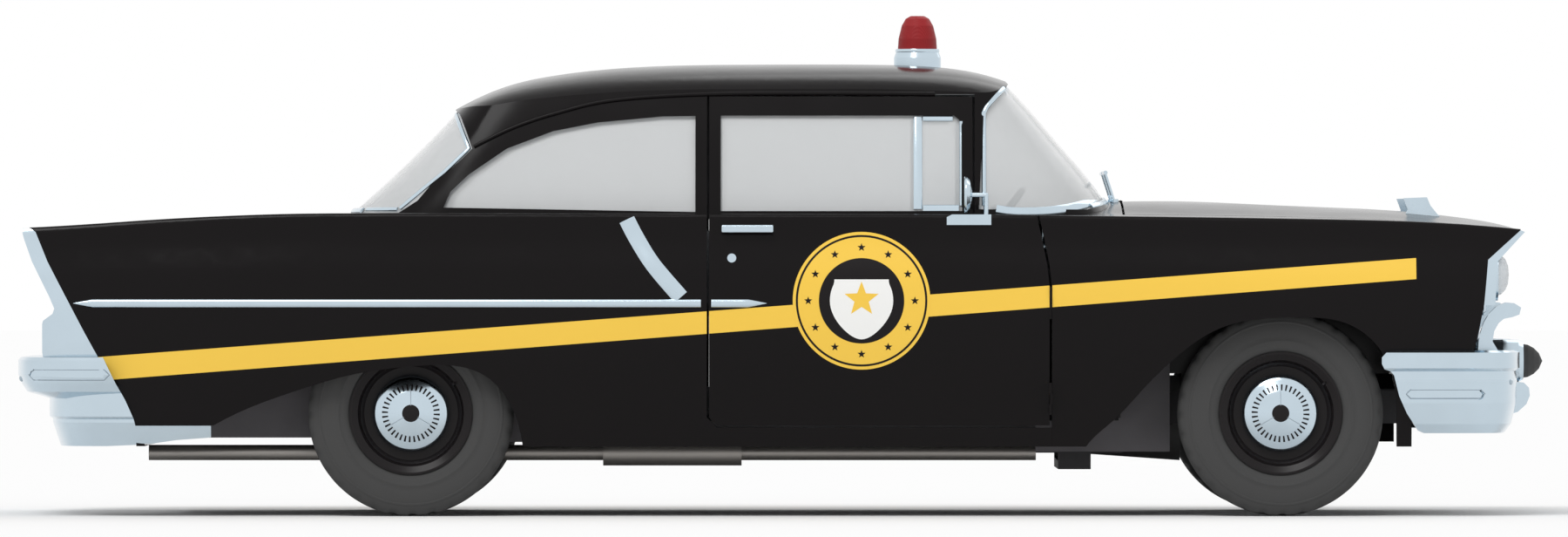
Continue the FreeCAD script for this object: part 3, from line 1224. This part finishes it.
def knuckle(side):
    x = FRONT_AXLE_X
    y = KINGPIN_Y * side
    out = TRACK_FRONT / 2 * side
    reach = ARM_DROP - ARM_TALL / 2 - SEAM
    post = tube(KNUCKLE_RADIUS, V(x, y, AXLE_Z - reach), V(x, y, AXLE_Z + reach))
    hub_in = (TRACK_FRONT / 2 - RIM_HALF * 0.40 - SEAM * 2) * side
    arm = tube(SPINDLE_RADIUS * 1.5, V(x, y, AXLE_Z), V(x, hub_in, AXLE_Z))
    tip = out + (RIM_HALF * 0.50 - SEAM * 3) * side
    spindle = tube(SPINDLE_RADIUS, V(x, y, AXLE_Z), V(x, tip, AXLE_Z))
    hole = tube(KINGPIN_RADIUS + RUNNING_FIT, V(x, y, AXLE_Z - reach - SEAM),
                V(x, y, AXLE_Z - reach / 2))
    upper = tube(KINGPIN_RADIUS + RUNNING_FIT, V(x, y, AXLE_Z + reach / 2),
                 V(x, y, AXLE_Z + reach + SEAM))
    return one(fuse(post, arm, spindle).cut(hole).cut(upper))


def front_suspension():
    x = FRONT_AXLE_X
    low = AXLE_Z - ARM_DROP - ARM_TALL
    beam = box(x - ARM_HALF * 2, x + ARM_HALF * 2, -RAIL_OUTER, RAIL_OUTER,
               low, AXLE_Z - ARM_DROP + ARM_TALL)
    parts = [beam]
    for side in (1, -1):
        y = KINGPIN_Y * side
        inner = ARM_INNER_Y * side
        for turn in (1, -1):
            z = AXLE_Z + ARM_DROP * turn
            reach = ARM_HALF * 2.2
            points = [(x - reach, inner), (x + reach, inner),
                      (x + ARM_HALF * 0.8, y), (x - ARM_HALF * 0.8, y)]
            plate = plan_prism(points, z - ARM_TALL / 2, z + ARM_TALL / 2)
            disc = tube(KNUCKLE_RADIUS, V(x, y, z - ARM_TALL / 2),
                        V(x, y, z + ARM_TALL / 2))
            pin = tube(KINGPIN_RADIUS, V(x, y, z),
                       V(x, y, AXLE_Z + (ARM_DROP / 2 + ARM_TALL) * turn))
            parts += [plate, disc, pin]
        tower = box(x - ARM_HALF * 2.4, x + ARM_HALF * 2.4,
                    min(RAIL_INNER * side, RAIL_OUTER * side),
                    max(RAIL_INNER * side, RAIL_OUTER * side),
                    low, AXLE_Z + ARM_DROP + ARM_TALL / 2)
        parts.append(tower)
    return one(fuse(*parts).cut(frame()))


def frame():
    """Two side rails, kicked up at both axles, with crossmembers."""
    if "frame" in MADE:
        return MADE["frame"]
    tail, hump_back, hump_front, sill_back, sill_front, nose = RAIL_KICK_SHARES
    boot = TAIL_RAIL_TOP_SHARE
    low_boot = boot - TAIL_RAIL_TALL_SHARE
    kick = KICK_TOP_SHARE
    low_kick = kick - RAIL_TALL_SHARE
    low_nose, top_nose = FRONT_RAIL_SHARES
    line = [(TAIL_FOOT_SHARE - REAR_RAIL_SHARE, low_boot, boot), (tail, low_boot, boot),
            (hump_back, low_kick, kick), (hump_front, low_kick, kick),
            (sill_back, RAIL_FOOT_SHARE, RAIL_TOP_SHARE),
            (sill_front, RAIL_FOOT_SHARE, RAIL_TOP_SHARE),
            (nose, low_nose, top_nose), (RAIL_END_SHARE, low_nose, top_nose)]
    shares = [(x, low) for x, low, top in line]
    shares += [(x, top) for x, low, top in reversed(line)]
    rail = side_prism(shares, RAIL_INNER, RAIL_OUTER)
    parts = [rail, mirrored(rail)]
    half = CROSS_LONG / 2
    for share, low in CROSSMEMBER_SHARES:
        x = along(share)
        z = height(low)
        parts.append(box(x - half, x + half, -RAIL_INNER, RAIL_INNER, z, z + CROSS_TALL))
    x = along(GEARBOX_MOUNT_SHARE)
    z = height(GEARBOX_FOOT_SHARE)
    parts.append(box(x - half, x + half, -RAIL_OUTER, RAIL_OUTER, z, z + CROSS_TALL))
    foot = box(x - half, x + half, RAIL_INNER, RAIL_OUTER, z, height(RAIL_TOP_SHARE))
    parts += [foot, mirrored(foot)]
    back, ahead = SPRING_END_SHARES
    starts = [along(ahead) + SEAM, along(back) - SEAM - SPRING_TALL]
    for x, (low, top) in zip(starts, SPRING_HANGER_SHARES):
        hanger = box(x, x + SPRING_TALL, RAIL_INNER + SPRING_TALL, SPRING_Y + SPRING_WIDE,
                     height(low), height(top))
        parts += [hanger, mirrored(hanger)]
    MADE["frame"] = fuse(*parts)
    return MADE["frame"]


def tunnel(radius):
    z = height(TUNNEL_SHARE)
    return tube(radius, V(along(TUNNEL_REAR_SHARE), 0, z), V(along(COWL_SHARE), 0, z))


def floor_pan():
    wall = FLOOR_WALL / WHEELBASE
    base = RAIL_TOP_SHARE + SEAM / WHEELBASE
    hump = KICK_TOP_SHARE + SEAM / WHEELBASE * 2
    boot = TAIL_RAIL_TOP_SHARE + SEAM / WHEELBASE * 8
    front = COWL_SHARE - (PANEL_WALL + SEAM) / WHEELBASE
    tail, hump_back, hump_front, sill = FLOOR_KICK_SHARES
    line = [(front, base), (sill, base), (hump_front, hump), (hump_back, hump),
            (tail, boot), (TAIL_FOOT_SHARE - FLOOR_TAIL_SHARE, boot)]
    shares = line + [(x, z + wall) for x, z in reversed(line)]
    split = along(FLOOR_SPLIT_SHARE)
    cabin = box(split, FAR, -FLOOR_HALF, FLOOR_HALF, 0, ROOF_HEIGHT)
    rear = box(-FAR, split, -TUB_REAR_Y + SEAM, TUB_REAR_Y - SEAM, 0, ROOF_HEIGHT)
    pan = side_prism(shares, -FLOOR_HALF, FLOOR_HALF)
    front_part = pan.common(cabin).common(lower_body(POST_WALL + SEAM))
    body = fuse(front_part, pan.common(rear), tunnel(TUNNEL_RADIUS))
    body = body.cut(tunnel(TUNNEL_RADIUS - TUNNEL_WALL))
    low = box(-FAR, FAR, -TUNNEL_RADIUS, TUNNEL_RADIUS, 0, height(base))
    return one(body.cut(low))


def rear_axle():
    x = REAR_AXLE_X
    hub_in = TRACK_REAR / 2 - RIM_HALF * 0.40 - SEAM * 2
    tip = TRACK_REAR / 2 + RIM_HALF * 0.50 - SEAM * 3
    parts = [tube(AXLE_TUBE_RADIUS, V(x, -hub_in + AXLE_TUBE_RADIUS, AXLE_Z),
                  V(x, hub_in - AXLE_TUBE_RADIUS, AXLE_Z)),
             tube(SPINDLE_RADIUS * 1.5, V(x, -hub_in, AXLE_Z), V(x, hub_in, AXLE_Z)),
             tube(SPINDLE_RADIUS, V(x, -tip, AXLE_Z), V(x, tip, AXLE_Z))]
    ball = Part.makeSphere(AXLE_TUBE_RADIUS * 3, V(x, 0, AXLE_Z))
    nose = Part.makeCone(AXLE_TUBE_RADIUS * 2.4, AXLE_TUBE_RADIUS, AXLE_TUBE_RADIUS * 6,
                         V(x, 0, AXLE_Z), V(1, 0, 0))
    end_share, end_height_share = SHAFT_END_SHARES
    shaft = tube(AXLE_TUBE_RADIUS * 0.8, V(x, 0, AXLE_Z),
                 V(along(end_share), 0, height(end_height_share)))
    parts += [ball, nose, shaft]
    lift = V(0, 0, SPRING_TALL * TALL / WHEELBASE)
    low = [V(along(a), SPRING_Y, height(b)) for a, b in LEAF_SHARES]
    top = [point + lift for point in reversed(low)]
    edges = [through(low), Part.makeLine(low[-1], top[0]), through(top),
             Part.makeLine(top[-1], low[0])]
    spring = Part.Face(Part.Wire(edges)).extrude(V(0, SPRING_WIDE, 0))
    pad = box(x - AXLE_TUBE_RADIUS, x + AXLE_TUBE_RADIUS, SPRING_Y,
              SPRING_Y + SPRING_WIDE, height(SPRING_PAD_SHARE), AXLE_Z)
    parts += [spring, mirrored(spring), pad, mirrored(pad)]
    return one(fuse(*parts))


def exhaust():
    y = -EXHAUST_Y
    z = height(EXHAUST_SHARE)
    rail_foot = height(RAIL_FOOT_SHARE)
    x0, x1 = [along(share) for share in EXHAUST_END_SHARES]
    pipe = tube(EXHAUST_RADIUS, V(x0, y, z), V(x1, y, z))
    x0, x1 = [along(share) for share in MUFFLER_SHARES]
    muffler = tube(MUFFLER_RADIUS, V(x0, y, z), V(x1, y, z))
    x0 = along(EXHAUST_STRAP_SHARE)
    strap = box(x0, x0 + EXHAUST_RADIUS, y, -RAIL_OUTER - SEAM,
                rail_foot, rail_foot + EXHAUST_RADIUS / 2)
    return fuse(pipe, muffler, strap)


def engine():
    """Engine block and gearbox as one plain mass, held by the gearbox mount."""
    (back, low), (front, top) = ENGINE_BLOCK_SHARES
    block = box(along(back), along(front), -ENGINE_HALF, ENGINE_HALF,
                height(low), height(top))
    z = height(GEARBOX_SHARE)
    r = TUNNEL_RADIUS - TUNNEL_WALL * 2
    gearbox = Part.makeCone(r, r * 0.6, along(back) - along(GEARBOX_END_SHARE),
                            V(along(back), 0, z), V(-1, 0, 0))
    (bell_back, bell_front), bell_top = BELL_SHARES
    bell = box(along(bell_back), along(bell_front), -r, r, z, height(bell_top))
    x = along(GEARBOX_MOUNT_SHARE)
    foot = box(x - CROSS_TALL, x + CROSS_TALL, -CROSS_TALL, CROSS_TALL,
               height(GEARBOX_FOOT_SHARE) + CROSS_TALL + SEAM, z)
    return one(fuse(block, gearbox, bell, foot))


def fuel_tank():
    (back, front), low = TANK_SHARES
    top = height(TAIL_RAIL_TOP_SHARE) + SEAM * 7
    return box(along(back), along(front), -TANK_HALF, TANK_HALF, height(low), top)


def bench(cushion_shares, back_shares, base_shares, half):
    """One seat: its cushion on a narrower base, and its back just behind."""
    z = height(RAIL_TOP_SHARE) + FLOOR_WALL + SEAM * 3
    (back, front), top = base_shares
    cushion = side_prism(cushion_shares, -half, half)
    base = box(along(back), along(front), -half * 0.9, half * 0.9, z, height(top))
    seat = fuse(cushion, base).cut(tunnel(TUNNEL_RADIUS + SEAM))
    rest = side_prism(back_shares, -half, half)
    rest.translate(V(-SEAM, 0, 0))
    return [one(seat), rest]


def seats():
    """Front and rear benches as plain cushions and backs."""
    front = bench(FRONT_CUSHION_SHARES, FRONT_BACK_SHARES, FRONT_BASE_SHARES, SEAT_HALF)
    rear = bench(REAR_CUSHION_SHARES, REAR_BACK_SHARES, REAR_BASE_SHARES, REAR_SEAT_HALF)
    return Part.makeCompound(front + rear)


def dashboard():
    shell = side_prism(DASH_SHARES, SEAM - HOOD_REAR_HALF, HOOD_REAR_HALF - SEAM)
    return one(shell.common(lower_body(PANEL_WALL + SEAM)))


def steering_wheel():
    center = V(along(STEERING_SHARES[0]), WHEEL_Y, height(STEERING_SHARES[1]))
    axis = V(*COLUMN_AXIS)
    rim = Part.makeTorus(STEERING_RADIUS, STEERING_RIM, center, axis)
    hub = tube(STEERING_RIM * 2.2, center - axis * STEERING_RIM,
               center + axis * STEERING_RADIUS * 1.5)
    arm = V(0, STEERING_RADIUS, 0)
    spoke = tube(STEERING_RIM * 0.6, center - arm, center + arm)
    dash = side_prism(DASH_SHARES, -WIDE, WIDE, -SEAM)
    return one(fuse(rim, hub, spoke).cut(dash))


def beacon_base():
    x = along(BEACON_SHARE)
    top = height(BEACON_BASE_TOP_SHARE)
    r = BEACON_BASE_RADIUS
    profile = [(0, -r * 0.75), (r, -r * 0.75), (r, -r * 0.275), (r * 0.9, 0), (0, 0)]
    base = revolved(profile, V(x, 0, top), V(0, 0, 1), V(1, 0, 0))
    return one(base.cut(greenhouse(-SEAM)))


def beacon_dome():
    x = along(BEACON_SHARE)
    low = height(BEACON_BASE_TOP_SHARE) + SEAM
    tall = height(BEACON_TOP_SHARE) - low
    r = BEACON_DOME_RADIUS
    profile = [(0, 0), (r, 0), (r * 0.96, tall * 0.35), (r * 0.80, tall * 0.72),
               (r * 0.60, tall * 0.92), (r * 0.35, tall), (0, tall)]
    return revolved(profile, V(x, 0, low), V(0, 0, 1), V(1, 0, 0))


NODES = {}


def keep(name, shape):
    NODES[name] = shape


def keep_pair(name, left):
    """A piece of the left side, and its mirror image on the right."""
    keep(name + "_left", left)
    keep(name + "_right", mirrored(left))


def keep_body():
    keep_pair("fender", fender())
    keep_pair("quarter", quarter())
    keep_pair("door", door())
    keep("roof", roof())
    keep("hood", hood())
    keep("trunk_lid", trunk_lid())
    keep("firewall", cowl())
    keep("parcel_shelf", parcel_shelf())
    keep("tail_panel", tail_panel())
    keep("front_panel", front_panel())


def keep_glass():
    keep("windshield", pane(WINDSHIELD_OPENING_SHARES, -FAR, FAR))
    rear = pane(BACKLIGHT_OPENING_SHARES, -FAR, FAR)
    side = pane(QUARTER_WINDOW_SHARES, 0, FAR)
    keep("fixed_glass", Part.makeCompound([rear, side, mirrored(side)]))
    keep_pair("door_glass", pane(DOOR_WINDOW_SHARES, 0, FAR))


def keep_trim():
    keep("grille", grille())
    keep("front_bumper", front_bumper())
    keep("bumper_tips", guard_tips())
    keep("rear_bumper", rear_bumper())
    rings, lenses = head_lamps()
    ends, red = tail_lamps()
    keep("lamp_rings", rings)
    keep("lamp_lenses", lenses)
    keep("fin_ends", ends)
    keep("tail_lenses", red)
    keep_pair("door_trim", door_trim())
    keep("wipers", wipers())
    keep("hood_ornaments", ornaments())
    keep("beacon_base", beacon_base())
    keep("beacon_dome", beacon_dome())


def keep_chassis():
    keep("frame", frame())
    keep("floor_pan", floor_pan())
    keep("rear_axle", rear_axle())
    keep("front_suspension", front_suspension())
    keep("exhaust", exhaust())
    keep("engine", engine())
    keep("fuel_tank", fuel_tank())
    for end, x, track in (("front", FRONT_AXLE_X, TRACK_FRONT),
                          ("rear", REAR_AXLE_X, TRACK_REAR)):
        for name, side in (("left", 1), ("right", -1)):
            y = track / 2 * side
            keep("tyre_" + end + "_" + name, tyre(x, y, side))
            keep("wheel_" + end + "_" + name, wheel(x, y, side))
    keep("knuckle_left", knuckle(1))
    keep("knuckle_right", knuckle(-1))


def keep_cabin():
    keep("seats", seats())
    keep("dashboard", dashboard())
    keep("steering_wheel", steering_wheel())


def main():
    keep_body()
    keep_glass()
    keep_trim()
    keep_chassis()
    keep_cabin()
    os.makedirs("parts", exist_ok=True)
    for name, shape in NODES.items():
        shape.exportStep("parts/" + name + ".step")


main()
